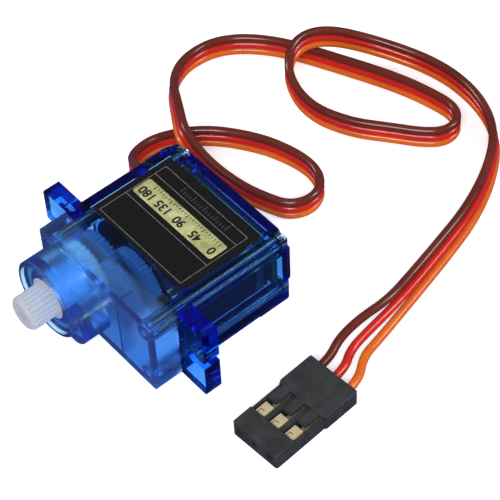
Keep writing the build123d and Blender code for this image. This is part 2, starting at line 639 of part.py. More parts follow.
with BuildPart() as pot_wiper:
    with BuildSketch(facing(WIPER_Y[0], OUTPUT_X, AXIS_Z)):
        Circle(WIPER_HUB_R)
        with Locations((0, WIPER_REACH / 2)):
            Rectangle(2 * WIPER_HALF, WIPER_REACH)
    extrude(amount=WIPER_Y[0] - WIPER_Y[1])
    block((OUTPUT_X - WIPER_HALF, OUTPUT_X + WIPER_HALF), WIPER_FINGER_Y, WIPER_FINGER_Z)
    bore(OUTPUT_X, POT_SHAFT_R, *WIPER_Y)
pot_wiper.part.label = "pot_wiper"
export_step(pot_wiper.part, "parts/pot_wiper.step")

# ---------------------------------------------------------------- electronics
LEAD_R = 0.28
LEAD_PITCH = 1.4
LEAD_RISE = 3.2
BOARD_X = (-9.9, 9.9)
BOARD_Z = (1.3, 10.6)
BOARD_NOTCH_R = 1.8

with BuildPart() as circuit_board:
    block(BOARD_X, (BOARD_FRONT_Y, BOARD_REAR_Y), BOARD_Z)
    screw_columns(BOARD_NOTCH_R, BOARD_REAR_Y, BOARD_FRONT_Y, mode=Mode.SUBTRACT)
circuit_board.part.label = "circuit_board"
export_step(circuit_board.part, "parts/circuit_board.step")

# control chip: a 14-leg flat package with gull-wing legs
CHIP_X = -3.7
CHIP_HALF = 1.9
CHIP_Y = (BOARD_FRONT_Y - 1.15, BOARD_FRONT_Y - 0.15)
CHIP_Z = (AXIS_Z - CHIP_HALF, AXIS_Z + CHIP_HALF)
CHIP_CHAMFER = 0.12
LEGS_A_SIDE = 7
LEG_PITCH = 0.5
LEG_HALF = 0.1
LEG_FOOT = 0.6
LEG_THICK = 0.12
LEG_SHOULDER = 0.25
LEG_RISE = 0.6

with BuildPart() as control_chip:
    block((CHIP_X - CHIP_HALF, CHIP_X + CHIP_HALF), CHIP_Y, CHIP_Z)
    chamfer(control_chip.faces().sort_by(Axis.Y)[0].edges(), CHIP_CHAMFER)
    for side in (-1, 1):
        inner = CHIP_X + side * CHIP_HALF
        foot = sorted((inner, inner + side * LEG_FOOT))
        shoulder = sorted((inner, inner + side * LEG_SHOULDER))
        for leg in range(LEGS_A_SIDE):
            middle = AXIS_Z + LEG_PITCH * (leg - (LEGS_A_SIDE - 1) / 2)
            leg_z = (middle - LEG_HALF, middle + LEG_HALF)
            block(foot, (BOARD_FRONT_Y - LEG_THICK, BOARD_FRONT_Y), leg_z)
            block(shoulder, (BOARD_FRONT_Y - LEG_RISE, BOARD_FRONT_Y), leg_z)
control_chip.part.label = "control_chip"
export_step(control_chip.part, "parts/control_chip.step")

# small chip resistors, capacitors and one transistor, each as its x, z, width and height
SMALL_PART_THICK = 0.5
SMALL_PARTS = [
    (-6.9, 2.6, 1.0, 0.5), (-5.2, 2.6, 1.0, 0.5), (-3.5, 2.6, 1.0, 0.5), (-1.8, 2.6, 1.0, 0.5),
    (-2.3, 9.2, 1.0, 0.5), (-0.4, 9.2, 1.6, 0.8), (0.9, 3.4, 0.8, 1.6), (0.6, 6.4, 0.8, 1.6),
]

with BuildPart() as board_parts:
    for x, z, wide, high in SMALL_PARTS:
        block((x - wide / 2, x + wide / 2), (BOARD_FRONT_Y - SMALL_PART_THICK, BOARD_FRONT_Y),
              (z - high / 2, z + high / 2))
board_parts.part.label = "board_parts"
export_step(board_parts.part, "parts/board_parts.step")

# three leads from the sensor board back to the circuit board
with BuildPart() as pot_leads:
    with BuildSketch(facing(BOARD_FRONT_Y, OUTPUT_X, AXIS_Z + LEAD_RISE)):
        with GridLocations(LEAD_PITCH, 0, 3, 1):
            Circle(LEAD_R)
    extrude(amount=BOARD_FRONT_Y - TRACK_BOARD_Y)
pot_leads.part.label = "pot_leads"
export_step(pot_leads.part, "parts/pot_leads.step")

# ---------------------------------------------------------------- ribbon cable
# Middle wire of the ribbon, from inside the case to where the three wires part:
# x, y, height of the ribbon's lower edge, and lean of the ribbon in degrees.
ROUTE = [
    (-9.2, 10.8, 4.15, 0), (-12.4, 10.8, 4.1, 0), (-16.0, 10.9, 2.9, 0), (-19.4, 12.6, 1.0, 0),
    (-20.6, 17.6, 0.1, 0), (-17.2, 23.9, 0, 0), (-10.9, 28.4, 0, 0), (-5.6, 30.2, 0, 0),
    (-1.9, 30.5, 0, 0), (1.1, 29.4, 0, 0), (2.5, 26.5, 0, 0), (1.3, 23.4, 0, 0),
    (-1.8, 22.0, 0, 0), (-5.6, 20.7, 0.2, 0), (-10.5, 19.3, 1.9, 0), (-15.6, 18.9, 4.0, -20),
    (-20.5, 21.8, 3.8, -15), (-26.6, 25.6, 1.6, -5), (-29.9, 31.1, 0.2, 0), (-29.2, 37.2, 0, 0),
    (-23.8, 42.6, 0, 0), (-15.0, 46.7, 0, 0), (-6.4, 50.4, 0, 0), (-0.6, 51.9, 0, 0),
    (3.0, 52.3, 0, 0), (5.3, 50.9, 0, 0), (5.6, 48.2, 0, 0), (3.7, 45.8, 0, 0),
    (0.0, 43.1, 0, 0), (-4.7, 39.5, 0, 0), (-10.5, 37.0, 0.7, 0), (-15.8, 37.8, 2.6, 0),
    (-18.9, 41.6, 4.0, 0), (-18.0, 46.6, 3.8, 0), (-13.3, 52.0, 1.5, 0), (-5.0, 56.6, 0, 0),
    (3.0, 56.6, 0, 0), (9.7, 53.9, 0, -10), (14.3, 48.4, 0, -20), (17.8, 41.2, 0, -30),
    (19.8, 33.8, 0, -40), (21.3, 27.6, 0, -45),
]

# Each wire's own last stretch, where it fans out into the connector.
FAN = {
    "brown": [
        (21.75, 22.3, 2.72), (21.45, 17.6, 2.5), (21.75, 13.7, 1.9),
        (22.97, 10.98, 1.3), (23.17, 7.98, 1.3),
    ],
    "red": [
        (22.5, 22.3, 1.72), (23.15, 17.6, 1.6), (23.7, 14.0, 1.4),
        (25.49, 11.3, 1.3), (25.71, 8.16, 1.3),
    ],
    "orange": [
        (23.5, 22.4, 0.68), (24.6, 18.0, 0.72), (25.4, 14.6, 0.98),
        (28.0, 11.5, 1.3), (28.24, 8.33, 1.3),
    ],
}
ROW = {"brown": 1, "red": 0, "orange": -1}


def wire_points(colour):
    """Route of one wire: the ribbon's route, moved by the wire's place in it, then its own fan."""
    points = []
    for index, (x, y, rise, lean) in enumerate(ROUTE):
        before = ROUTE[max(index - 1, 0)]
        after = ROUTE[min(index + 1, len(ROUTE) - 1)]
        run = math.hypot(after[0] - before[0], after[1] - before[1])
        side = ((before[1] - after[1]) / run, (after[0] - before[0]) / run)
        tilt = math.radians(lean)
        shift = ROW[colour] * WIRE_D * math.sin(tilt)
        height = rise + WIRE_D / 2 + WIRE_D * (1 + ROW[colour]) * math.cos(tilt)
        points.append((x + side[0] * shift, y + side[1] * shift, height))
    return points + FAN[colour]


def corner_radii(points):
    """Largest tangent arc at each corner: 0.45 of the shorter run over the tangent of half the turn."""
    radii = []
    for before, corner, after in zip(points, points[1:], points[2:]):
        run_in = Vector(*corner) - Vector(*before)
        run_out = Vector(*after) - Vector(*corner)
        half_turn = math.radians(run_in.get_angle(run_out)) / 2
        radii.append(0.45 * min(run_in.length, run_out.length) / math.tan(half_turn))
    return radii


WIRE_TUBE_R = 0.59


def wire_tube(colour):
    """Tube along one wire's route, inside the current part."""
    points = wire_points(colour)
    radii = corner_radii(points)
    with BuildLine() as path:
        FilletPolyline(*points, radius=radii)
    with BuildSketch(Plane(origin=path.wire() @ 0, z_dir=path.wire() % 0)) as section:
        Circle(WIRE_TUBE_R)
    sweep(section.sketch, path=path.wire())
    length = path.wire().length
    print(f"wire_{colour}: {length:.1f} mm long, corner radii",
          " ".join(f"{radius:.1f}" for radius in radii))
    return length


with BuildPart() as wire_brown:
    brown_length = wire_tube("brown")
wire_brown.part.label = "wire_brown"
export_step(wire_brown.part, "parts/wire_brown.step")

with BuildPart() as wire_red:
    red_length = wire_tube("red")
wire_red.part.label = "wire_red"
export_step(wire_red.part, "parts/wire_red.step")

with BuildPart() as wire_orange:
    orange_length = wire_tube("orange")
wire_orange.part.label = "wire_orange"
export_step(wire_orange.part, "parts/wire_orange.step")

for wire, length in ((wire_brown, brown_length), (wire_red, red_length), (wire_orange, orange_length)):
    share = wire.part.volume / (math.pi * WIRE_TUBE_R**2 * length)
    print(f"{wire.part.label}: volume over section times length {share:.4f}")

# stripped, tinned ends of the three wires, bent to the circuit board
TAIL_RUN = 1.2
TAIL_BEND_R = 0.6

with BuildPart() as wire_tails:
    for row in (-1, 0, 1):
        height = ROUTE[0][2] + WIRE_D / 2 + WIRE_D * (1 + row)
        with BuildLine() as tail:
            FilletPolyline(
                (ROUTE[0][0], ROUTE[0][1], height),
                (ROUTE[0][0] + TAIL_RUN, ROUTE[0][1], height),
                (ROUTE[0][0] + TAIL_RUN, BOARD_FRONT_Y, height),
                radius=TAIL_BEND_R,
            )
        with BuildSketch(Plane(origin=tail.wire() @ 0, z_dir=tail.wire() % 0)):
            Circle(LEAD_R)
        sweep()
wire_tails.part.label = "wire_tails"
export_step(wire_tails.part, "parts/wire_tails.step")

# ---------------------------------------------------------------- connector
# Local frame of the plug: x across it, -y towards its front, origin on the floor under its rear face.
PLUG_ACROSS = polar(1, math.radians(PLUG_TURN))
PLUG = Plane(origin=(*PLUG_REAR, 0), x_dir=(*PLUG_ACROSS, 0), z_dir=(0, 0, 1))
PLUG_WIDTH = 7.7
PLUG_REAR_WIDTH = 8.15
PLUG_STEP = 5.6
PLUG_CORNER_R = 0.35
PLUG_REAR_CORNER_R = 0.2
PLUG_CHAMFER = 0.1
MIDDLE_START = 5.85
MIDDLE_END = 10.85
RIB_TOP = 2.15
CAVITY = 1.7
CAVITY_Z = (0.4, RIB_TOP)
CAVITY_DEPTH = 12.8
WINDOW_WIDTH = 1.9
TONGUE_WIDTH = 1.35
TONGUE_END = 8.35
PIN_HOLE = 0.9


def plug_block(x, depth, z, mode=Mode.ADD):
    """Box in the plug's frame: low and high x, depth behind and in front, low and high z."""
    with BuildSketch(PLUG.offset(z[0])) as base:
        with Locations(((x[0] + x[1]) / 2, -(depth[0] + depth[1]) / 2)):
            Rectangle(x[1] - x[0], depth[1] - depth[0])
    extrude(base.sketch, amount=z[1] - z[0], mode=mode)


with BuildPart() as connector_housing:
    with BuildSketch(PLUG):
        with Locations((0, -PLUG_LENGTH / 2)):
            RectangleRounded(PLUG_WIDTH, PLUG_LENGTH, PLUG_CORNER_R)
        with Locations((0, -PLUG_STEP / 2)):
            RectangleRounded(PLUG_REAR_WIDTH, PLUG_STEP, PLUG_REAR_CORNER_R)
    extrude(amount=PLUG_HEIGHT)
    chamfer(connector_housing.faces().sort_by(Axis.Z)[-1].edges(), PLUG_CHAMFER)
    plug_block((-PLUG_REAR_WIDTH, PLUG_REAR_WIDTH), (MIDDLE_START, MIDDLE_END),
               (RIB_TOP, PLUG_HEIGHT), mode=Mode.SUBTRACT)
    for way in (-1, 0, 1):
        x = way * PLUG_PITCH
        across = (x - CAVITY / 2, x + CAVITY / 2)
        plug_block((x - TONGUE_WIDTH / 2, x + TONGUE_WIDTH / 2), (MIDDLE_START, TONGUE_END),
                   (RIB_TOP, PLUG_HEIGHT))
        plug_block(across, (0, CAVITY_DEPTH), CAVITY_Z, mode=Mode.SUBTRACT)
        plug_block((x - WINDOW_WIDTH / 2, x + WINDOW_WIDTH / 2), (TONGUE_END, MIDDLE_END),
                   (CAVITY_Z[0], PLUG_HEIGHT), mode=Mode.SUBTRACT)
        plug_block((x - PIN_HOLE / 2, x + PIN_HOLE / 2), (CAVITY_DEPTH, PLUG_LENGTH),
                   (WIRE_Z_IN_PLUG - PIN_HOLE / 2, WIRE_Z_IN_PLUG + PIN_HOLE / 2), mode=Mode.SUBTRACT)
connector_housing.part.label = "connector_housing"
export_step(connector_housing.part, "parts/connector_housing.step")

# stamped contacts: a box section at the front, a neck, and a crimp barrel round the wire
BOX_HALF = 0.7
BOX_DEPTH = (8.75, 12.7)
CONTACT_Z = (0.5, 2.05)
SHEET = 0.15
LIP = (-0.5, -0.36)
LIP_START = 9.85
LIP_FOOT = 0.15
NECK_HALF = 0.5
NECK_DEPTH = (1.4, 8.9)
CORE_GRIP_DEPTH = (2.2, 4.4)
CORE_GRIP_TOP = 1.7
CRIMP_HALF = 0.8
CRIMP_DEPTH = (0.3, 1.6)
CRIMP_TOP = 1.9

with BuildPart() as connector_contacts:
    for way in (-1, 0, 1):
        x = way * PLUG_PITCH
        floor = (CONTACT_Z[0], CONTACT_Z[0] + SHEET)
        roof = (CONTACT_Z[1] - SHEET, CONTACT_Z[1])
        plug_block((x - BOX_HALF, x + BOX_HALF), BOX_DEPTH, CONTACT_Z)
        plug_block((x - BOX_HALF + SHEET, x + BOX_HALF - SHEET), BOX_DEPTH,
                   (floor[1], roof[0]), mode=Mode.SUBTRACT)
        plug_block((x + LIP[0], x + LIP[1]), (LIP_START, BOX_DEPTH[1]), roof, mode=Mode.SUBTRACT)
        plug_block((x + LIP[0], x + LIP_FOOT), (LIP_START, LIP_START + SHEET), roof, mode=Mode.SUBTRACT)
        plug_block((x - NECK_HALF, x + NECK_HALF), NECK_DEPTH, floor)
        plug_block((x - CRIMP_HALF, x + CRIMP_HALF), CRIMP_DEPTH, floor)
        for side in (-1, 1):
            grip = sorted((x + side * NECK_HALF, x + side * (NECK_HALF - SHEET)))
            crimp = sorted((x + side * CRIMP_HALF, x + side * (CRIMP_HALF - SHEET)))
            plug_block(grip, CORE_GRIP_DEPTH, (CONTACT_Z[0], CORE_GRIP_TOP))
            plug_block(crimp, CRIMP_DEPTH, (CONTACT_Z[0], CRIMP_TOP))
connector_contacts.part.label = "connector_contacts"
export_step(connector_contacts.part, "parts/connector_contacts.step")
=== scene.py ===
import math

import bmesh
import bpy
from mathutils import Matrix, Quaternion, Vector, noise


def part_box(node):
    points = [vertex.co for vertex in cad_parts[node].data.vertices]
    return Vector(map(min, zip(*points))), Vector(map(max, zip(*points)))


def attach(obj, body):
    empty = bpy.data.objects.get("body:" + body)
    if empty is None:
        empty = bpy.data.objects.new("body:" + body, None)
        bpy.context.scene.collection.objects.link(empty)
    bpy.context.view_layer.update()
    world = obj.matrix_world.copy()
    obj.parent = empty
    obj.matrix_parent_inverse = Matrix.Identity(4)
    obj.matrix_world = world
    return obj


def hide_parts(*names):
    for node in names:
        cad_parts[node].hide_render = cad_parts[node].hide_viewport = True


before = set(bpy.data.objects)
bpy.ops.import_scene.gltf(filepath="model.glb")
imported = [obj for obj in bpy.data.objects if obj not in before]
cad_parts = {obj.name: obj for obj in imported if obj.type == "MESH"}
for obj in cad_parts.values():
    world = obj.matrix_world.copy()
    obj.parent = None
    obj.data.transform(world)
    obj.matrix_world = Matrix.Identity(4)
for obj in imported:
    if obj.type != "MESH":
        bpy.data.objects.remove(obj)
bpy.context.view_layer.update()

MM = 0.001

# ---------------------------------------------------------------- camera
EYE = Vector((135.54, -88.61, 205.36)) * MM
VIEW = Vector((-0.50215, 0.39211, -0.77078))
ROLL = math.radians(-3.21)
LENS = 143.81
SENSOR = 36.0
CLIP = (0.01, 20.0)


def make_camera():
    """The camera at the viewing angle, with its small roll."""
    data = bpy.data.cameras.new("camera")
    data.sensor_width = SENSOR
    data.lens = LENS
    data.clip_start, data.clip_end = CLIP
    camera = bpy.data.objects.new("camera", data)
    camera.rotation_mode = "QUATERNION"
    camera.location = EYE
    camera.rotation_quaternion = VIEW.to_track_quat("-Z", "Y") @ Quaternion((0, 0, 1), ROLL)
    bpy.context.scene.collection.objects.link(camera)
    bpy.context.scene.camera = camera


make_camera()


# ---------------------------------------------------------------- material helpers
class Look:
    """A material with a Principled shader, and short ways to add the nodes that feed it."""

    def __init__(self, name):
        self.material = bpy.data.materials.new(name)
        self.material.use_nodes = True
        self.tree = self.material.node_tree
        self.shader = self.tree.nodes["Principled BSDF"]
        self.output = self.tree.nodes["Material Output"]
        self.place = self.add("ShaderNodeTexCoord").outputs["Object"]

    def add(self, kind, links=None, **settings):
        """A node with its settings, and its inputs linked or set."""
        made = self.tree.nodes.new(kind)
        for key, value in settings.items():
            setattr(made, key, value)
        for key, value in (links or {}).items():
            self.feed(made.inputs[key], value)
        return made

    def feed(self, socket, value):
        """Links a socket, or sets it to a plain value."""
        if isinstance(value, bpy.types.NodeSocket):
            self.tree.links.new(value, socket)
        else:
            socket.default_value = value

    def set(self, **values):
        """Sets the shader's sockets by name, with _ for a space."""
        for key, value in values.items():
            self.feed(self.shader.inputs[key.replace("_", " ")], value)

    def stretched(self, scale):
        """The place on the piece with each axis scaled, for grain that runs one way."""
        return self.add("ShaderNodeMapping", {"Vector": self.place, "Scale": scale}).outputs[0]

    def noise(self, scale, detail=3.0, rough=0.5, distortion=0.0, place=None):
        """Noise from 0 to 1, scale in features per metre."""
        links = {"Vector": place or self.place, "Scale": scale, "Detail": detail, "Roughness": rough}
        links["Distortion"] = distortion
        return self.add("ShaderNodeTexNoise", links).outputs["Fac"]

    def cells(self, scale, feature):
        """Distance to the nearest cell's point or edge, scale in cells per metre."""
        links = {"Vector": self.place, "Scale": scale}
        return self.add("ShaderNodeTexVoronoi", links, feature=feature).outputs["Distance"]

    def span(self, value, low, high, start=0.0, end=1.0):
        """value from start..end mapped to low..high."""
        links = {"Value": value, "From Min": start, "From Max": end, "To Min": low, "To Max": high}
        return self.add("ShaderNodeMapRange", links).outputs[0]

    def math(self, operation, *values):
        """A sum, product or comparison of values."""
        made = self.add("ShaderNodeMath", operation=operation)
        for socket, value in zip(made.inputs, values):
            self.feed(socket, value)
        return made.outputs[0]

    def mix(self, share, first, second):
        """Two colours mixed by share."""
        made = self.add("ShaderNodeMix", data_type="RGBA")
        for socket, value in zip((made.inputs[0], made.inputs[6], made.inputs[7]), (share, first, second)):
            self.feed(socket, value)
        return made.outputs[2]

    def bump(self, height, depth, strength=1.0, after=None):
        """A bump of that depth in metres, on top of another if given."""
        made = self.add("ShaderNodeBump", {"Height": height, "Distance": depth, "Strength": strength})
        if after is not None:
            self.feed(made.inputs["Normal"], after)
        return made.outputs[0]

    def axis(self, name):
        """One coordinate of the place on the piece, in metres."""
        return self.add("ShaderNodeSeparateXYZ", {0: self.place}).outputs[name]

    def inside(self, value, low, high):
        """1 where value is between low and high."""
        above = self.math("GREATER_THAN", value, low)
        return self.math("MULTIPLY", above, self.math("LESS_THAN", value, high))


def grey(level):
    """A grey of that linear level."""
    return (level, level, level, 1)


def rgb(red, green, blue):
    """A linear colour, opaque."""
    return (red, green, blue, 1)


# ---------------------------------------------------------------- materials
# where two parts of the case meet: faces this near that look this squarely along Y let light straight through
SEAMS_Y = (9.5, -3.7)
SEAM_REACH = 0.08
END_ON = 0.9
CLOUD_HAZE = 0.12
PLASTIC_IOR = 1.46
PLASTIC_DEEP = rgb(0.02, 0.6, 0.95)
PLASTIC_SHADOW = rgb(0.97, 0.98, 1.0)


def clear_blue(name, tint, density, cloud=0.0):
    """Clear blue moulded plastic: pale where it's thin, ultramarine along its edges, and blurred by cloud."""
    look = Look(name)
    flow = look.noise(260, detail=2, rough=0.5, distortion=0.6)
    scuff = look.noise(5200, detail=4, rough=0.7)
    both = look.math("ADD", flow, look.span(scuff, -0.2, 0.3))
    uneven = look.span(both, 0.015, 0.09, start=0.2, end=1.0)
    wavy = look.bump(flow, depth=60e-6, strength=0.35)
    look.set(
        Base_Color=tint, Transmission_Weight=1.0 - CLOUD_HAZE * cloud, IOR=PLASTIC_IOR,
        Roughness=look.math("ADD", uneven, cloud) if cloud else uneven,
        Normal=look.bump(scuff, depth=4e-6, strength=0.35, after=wavy),
    )
    if cloud:
        look.set(Coat_Weight=0.6, Coat_Roughness=0.04)
    absorb = look.add("ShaderNodeVolumeAbsorption", {"Color": PLASTIC_DEEP, "Density": density})
    look.feed(look.output.inputs["Volume"], absorb.outputs[0])
    through = look.add("ShaderNodeBsdfTransparent", {"Color": PLASTIC_SHADOW})
    shadow = look.add("ShaderNodeLightPath").outputs["Is Shadow Ray"]
    y = look.axis("Y")
    at_seam = None
    for level in SEAMS_Y:
        near = look.inside(y, (level - SEAM_REACH) * MM, (level + SEAM_REACH) * MM)
        at_seam = near if at_seam is None else look.math("MAXIMUM", at_seam, near)
    normal = look.add("ShaderNodeNewGeometry").outputs["True Normal"]
    facing = look.add("ShaderNodeSeparateXYZ", {0: normal})
    end_on = look.math("GREATER_THAN", look.math("ABSOLUTE", facing.outputs["Y"]), END_ON)
    open_share = look.math("MAXIMUM", shadow, look.math("MULTIPLY", at_seam, end_on))
    links = {0: open_share, 1: look.shader.outputs[0], 2: through.outputs[0]}
    surface = look.add("ShaderNodeMixShader", links)
    look.feed(look.output.inputs["Surface"], surface.outputs[0])
    return look.material


def nylon(name, colour, shade):
    """Milky nylon gears: slightly translucent, faintly mottled."""
    look = Look(name)
    mottle = look.noise(900)
    dull = look.noise(4000, detail=2)
    look.set(
        Base_Color=look.mix(mottle, colour, shade), Roughness=look.span(dull, 0.28, 0.45),
        Subsurface_Weight=0.35, Subsurface_Radius=(1.0, 0.9, 0.85), Subsurface_Scale=0.0007,
        Normal=look.bump(look.noise(6000), depth=6e-6, strength=0.5),
    )
    return look.material


def pvc(name, colour, dark):
    """Glossy vinyl insulation with a soft unevenness along it."""
    look = Look(name)
    tone = look.span(look.noise(170, rough=0.55), 0, 1, start=0.3, end=0.75)
    look.set(
        Base_Color=look.mix(tone, colour, dark),
        Roughness=look.span(look.noise(900), 0.16, 0.32),
        Subsurface_Weight=0.12, Subsurface_Radius=(1.0, 0.4, 0.25), Subsurface_Scale=0.0004,
        Coat_Weight=0.45, Coat_Roughness=0.08, Specular_IOR_Level=0.35,
        Normal=look.bump(look.noise(420, rough=0.6), depth=40e-6, strength=0.6),
    )
    return look.material


WORN = (1.8, 1.85, 1.95)  # how much paler dark plastic is where it's worn


def satin_black(name, level, grain=5200, gloss=0.5):
    """Dark moulded plastic, or metal painted near-black as painted shade: fine grain, dull sheen and paler
    wear.
    """
    look = Look(name)
    spots = look.noise(grain, detail=4, rough=0.65)
    wear = look.span(look.noise(500, detail=4, rough=0.6), 0, 1, start=0.35, end=0.75)
    look.set(
        Base_Color=look.mix(wear, grey(level), rgb(*(level * share for share in WORN))),
        Roughness=look.span(spots, 0.36, 0.6), Specular_IOR_Level=gloss,
        Normal=look.bump(spots, depth=9e-6, strength=0.6),
    )
    return look.material


def metal(name, colour, dark, low, high, grain=(1, 1, 1), scale=2600, share=1.0):
    """Metal with brushed or drawn grain along one axis, its roughness from low to high."""
    look = Look(name)
    lines = look.noise(scale, rough=0.6, place=look.stretched(grain))
    stain = look.span(look.noise(700), 0, 1, start=0.35, end=0.7)
    look.set(
        Base_Color=look.mix(stain, colour, dark), Metallic=share,
        Roughness=look.span(lines, low, high), Normal=look.bump(lines, depth=5e-6, strength=0.5),
    )
    return look.material


def board_green():
    """Green solder mask with copper tracks showing faintly through it."""
    look = Look("board_green")
    tracks = look.cells(900, "DISTANCE_TO_EDGE")
    copper = look.span(tracks, 1.0, 0.0, start=0.02, end=0.05)
    look.set(
        Base_Color=look.mix(copper, rgb(0.006, 0.045, 0.022), rgb(0.014, 0.1, 0.04)),
        Roughness=look.span(look.noise(2500, detail=2), 0.25, 0.4), Coat_Weight=0.4,
        Normal=look.bump(copper, depth=15e-6, strength=0.6),
    )
    return look.material


def phenolic():
    """Brown laminated board, speckled."""
    look = Look("phenolic_board")
    speckle = look.noise(3200, detail=4, rough=0.7)
    look.set(
        Base_Color=look.mix(speckle, rgb(0.19, 0.085, 0.028), rgb(0.33, 0.17, 0.07)),
        Roughness=look.span(speckle, 0.4, 0.6), Normal=look.bump(speckle, depth=8e-6, strength=0.5),
    )
    return look.material


LABEL_FRAME_X = (-8.65, 7.75)
LABEL_FRAME_Y = (-0.05, 10.9)
LABEL_RULES_Y = (4.2, 9.05)
RULE_REACH = 0.035  # half a rule's width
LABEL_BASE = grey(0.009)
RULE_INK = grey(0.3)


def label_black():
    """Black glossy sticker, slightly wrinkled, with a thin printed grey frame and rules."""
    look = Look("label_black")
    x, y = look.axis("X"), look.axis("Y")
    across = look.inside(x, LABEL_FRAME_X[0] * MM, LABEL_FRAME_X[1] * MM)
    along = look.inside(y, LABEL_FRAME_Y[0] * MM, LABEL_FRAME_Y[1] * MM)
    lines = None
    for level in (*LABEL_FRAME_Y, *LABEL_RULES_Y):
        near = look.inside(y, (level - RULE_REACH) * MM, (level + RULE_REACH) * MM)
        rule = look.math("MULTIPLY", across, near)
        lines = rule if lines is None else look.math("MAXIMUM", lines, rule)
    for level in LABEL_FRAME_X:
        near = look.inside(x, (level - RULE_REACH) * MM, (level + RULE_REACH) * MM)
        lines = look.math("MAXIMUM", lines, look.math("MULTIPLY", along, near))
    creases = look.noise(330, detail=4, rough=0.6, distortion=1.2)
    worn = look.span(look.noise(2600), 0.55, 1.0, start=0.3, end=0.6)
    grain = look.bump(look.noise(3600, detail=2), depth=6e-6, strength=0.4)
    look.set(
        Base_Color=look.mix(look.math("MULTIPLY", lines, worn), LABEL_BASE, RULE_INK),
        Roughness=look.span(look.noise(1500), 0.2, 0.38), Specular_IOR_Level=0.45,
        Normal=look.bump(creases, depth=120e-6, strength=0.45, after=grain),
    )
    return look.material


def foil():
    """Pale gold foil, crumpled, with dull olive patches."""
    look = Look("foil_gold")
    crumple = look.noise(900, detail=5, rough=0.65, distortion=1.5)
    patches = look.span(look.noise(420, rough=0.6), 0, 1, start=0.35, end=0.65)
    look.set(
        Base_Color=look.mix(patches, rgb(0.86, 0.84, 0.42), rgb(0.52, 0.5, 0.2)), Metallic=0.3,
        Roughness=look.span(crumple, 0.2, 0.5), Normal=look.bump(crumple, depth=260e-6),
    )
    return look.material


def ink(name, level):
    """Printed ink, thin and a little uneven."""
    look = Look(name)
    look.set(
        Base_Color=look.mix(look.noise(3000), grey(level), grey(level * 2)),
        Roughness=look.span(look.noise(2200, detail=2), 0.35, 0.55),
        Normal=look.bump(look.noise(5000, detail=2), depth=5e-6, strength=0.4),
    )
    return look.material


CASE_BLUE = clear_blue("clear_blue_plastic", rgb(0.9, 0.96, 1.0), density=700.0)
COVER_BLUE = clear_blue("cloudy_blue_plastic", rgb(0.62, 0.86, 1.0), density=500.0, cloud=0.2)
NYLON = nylon("nylon_white", rgb(0.61, 0.62, 0.68), rgb(0.52, 0.54, 0.62))
# painted shade: the gears inside the case are greyed by grease and, as painted shade, darkened and tinted
# blue in their own colour for the blue-filtered light that reaches them through the walls
NYLON_GREASE_AND_PAINTED_SHADE = nylon("nylon_grease_and_painted_shade", rgb(0.11, 0.2, 0.38), rgb(0.08, 0.16, 0.32))
STEEL = metal("steel", grey(0.55), grey(0.4), 0.18, 0.36, grain=(1, 0.1, 1))
# painted shade: the motor can and armature are near-black with little gloss, not bright steel, standing in
# for the dark reflections the can shows inside the case
CAN_PAINTED_DARK = satin_black("can_painted_dark", 0.008, grain=2600, gloss=0.12)
BRASS = metal("brass", rgb(0.62, 0.44, 0.2), rgb(0.48, 0.32, 0.13), 0.2, 0.38, grain=(1, 0.1, 1))
BRONZE = metal("bronze", rgb(0.55, 0.34, 0.17), rgb(0.42, 0.25, 0.12), 0.3, 0.5)
MAGNET = satin_black("magnet_grey", 0.05, grain=3800)
COPPER = metal(
    "copper_wire", rgb(0.78, 0.33, 0.16), rgb(0.55, 0.2, 0.09), 0.2, 0.36, grain=(1, 14, 1), scale=1800,
)
TINNED = metal("tinned", grey(0.72), grey(0.55), 0.16, 0.34)
BLACK_PLASTIC = satin_black("black_plastic", 0.029)
BOARD = board_green()
CHIP = satin_black("chip_black", 0.015, grain=7000)
CARBON = satin_black("carbon_track", 0.03, grain=2800)
PHENOLIC = phenolic()
GOLD = metal(
    "contact_gold", rgb(0.95, 0.8, 0.52), rgb(0.8, 0.62, 0.34), 0.22, 0.4, grain=(1, 0.2, 1), share=0.35,
)
WIRES = {
    "brown": pvc("wire_brown", rgb(0.185, 0.028, 0.017), rgb(0.12, 0.018, 0.011)),
    "red": pvc("wire_red", rgb(0.74, 0.025, 0.013), rgb(0.55, 0.013, 0.008)),
    "orange": pvc("wire_orange", rgb(0.87, 0.18, 0.016), rgb(0.72, 0.11, 0.01)),
}
FOIL = foil()
INK = ink("print_black", 0.012)
FAINT_INK = ink("print_grey", 0.035)

FINISH = {
    CASE_BLUE: ("bottom_cover", "middle_case"),
    COVER_BLUE: ("top_cover",),
    label_black(): ("label",),
    NYLON: ("output_gear", "pot_wiper"),
    NYLON_GREASE_AND_PAINTED_SHADE: ("first_gear", "second_gear", "third_gear"),
    STEEL: ("case_screws", "idler_pin", "motor_shaft", "pot_shaft"),
    CAN_PAINTED_DARK: ("motor_can", "armature_core"),
    BRASS: ("motor_pinion",),
    BRONZE: ("motor_bushes", "motor_brushes", "commutator"),
    MAGNET: ("motor_magnets",),
    COPPER: ("armature_coils",),
    TINNED: ("motor_terminals", "wire_tails", "pot_leads"),
    BLACK_PLASTIC: ("motor_end_cap", "pot_housing", "connector_housing"),
    BOARD: ("circuit_board",),
    CHIP: ("control_chip", "board_parts"),
    CARBON: ("pot_track",),
    PHENOLIC: ("pot_board",),
    GOLD: ("connector_contacts",),
}
for material, names in FINISH.items():
    for name in names:
        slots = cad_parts[name].data.materials
        slots.clear()
        slots.append(material)

# ---------------------------------------------------------------- ribbon cable
WIRE_D = 1.2
WIRE_ROUNDNESS = 5
WIRE_STEPS = 12
ROWS = {"brown": 1, "red": 0, "orange": -1}
